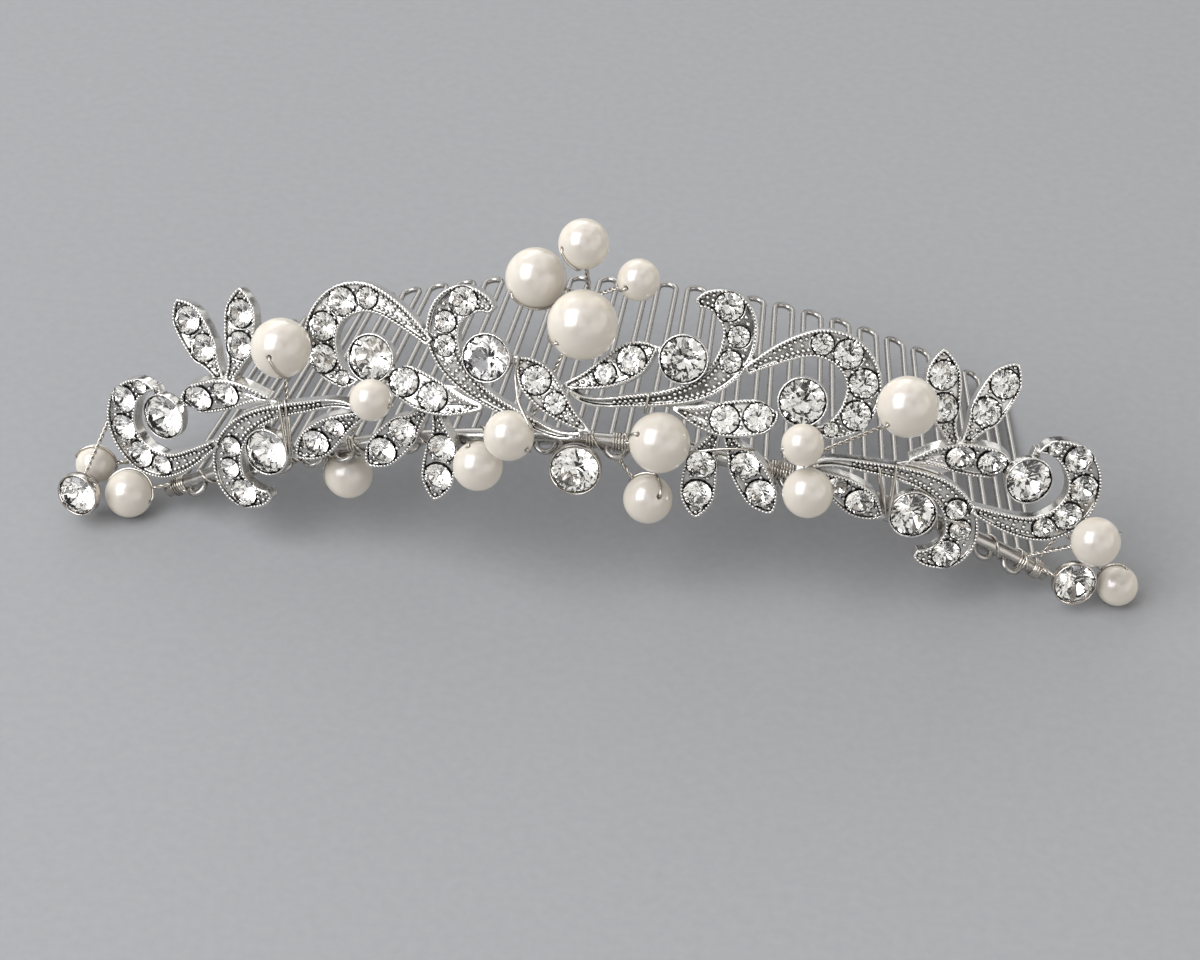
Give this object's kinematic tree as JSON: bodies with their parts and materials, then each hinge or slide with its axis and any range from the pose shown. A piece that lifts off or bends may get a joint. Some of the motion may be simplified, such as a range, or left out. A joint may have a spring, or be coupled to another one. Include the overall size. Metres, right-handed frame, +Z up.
{
  "type": "tiara comb",
  "caption": "Bridal tiara comb: an arched wire comb carrying a leaning band of cast silver scroll sprigs set with clear stones, with ivory pearls on thin wires.",
  "frame": {"origin": "bottom centre of the box round the comb as it lies at rest on a flat surface", "axes": "+Z up from the surface, +X to the wearer's left along the band, +Y from the band towards the tips of the teeth"},
  "size_m": [0.1251, 0.048, 0.0437],
  "materials": {
    "comb_wire": "silver-plated spring wire, bright",
    "silver_casting": "silver-plated casting, bright, a little aged in its hollows",
    "clear_stone": "cut clear crystal with a foiled back",
    "pearl": "ivory pearl coating with a soft lustre",
    "wire": "thin silver-plated wire"
  },
  "bodies": {
    "root": {"wire_comb": "comb_wire", "sprig_inner_right": "silver_casting", "sprig_outer_right": "silver_casting", "sprig_inner_left": "silver_casting", "sprig_outer_left": "silver_casting", "pave_inner_right": "clear_stone", "pave_outer_right": "clear_stone", "pave_inner_left": "clear_stone", "pave_outer_left": "clear_stone", "upper_stone_inner_right": "clear_stone", "upper_stone_outer_right": "clear_stone", "upper_stone_inner_left": "clear_stone", "upper_stone_outer_left": "clear_stone", "side_stone_inner_right": "clear_stone", "side_stone_outer_right": "clear_stone", "side_stone_inner_left": "clear_stone", "side_stone_outer_left": "clear_stone", "cup_middle": "silver_casting", "cup_right_end": "silver_casting", "cup_left_end": "silver_casting", "stone_middle": "clear_stone", "stone_right_end": "clear_stone", "stone_left_end": "clear_stone", "pearl_1": "pearl", "pearl_2": "pearl", "pearl_3": "pearl", "pearl_4": "pearl", "pearl_5": "pearl", "pearl_6": "pearl", "pearl_7": "pearl", "pearl_8": "pearl", "pearl_9": "pearl", "pearl_10": "pearl", "pearl_11": "pearl", "pearl_12": "pearl", "pearl_13": "pearl", "pearl_14": "pearl", "pearl_15": "pearl", "pearl_16": "pearl", "pearl_17": "pearl", "pearl_18": "pearl", "wires_top": "wire", "wires_left": "wire", "wires_middle": "wire", "wires_right": "wire", "wires_right_end": "wire", "wires_left_end": "wire"}
  },
  "joints": []
}
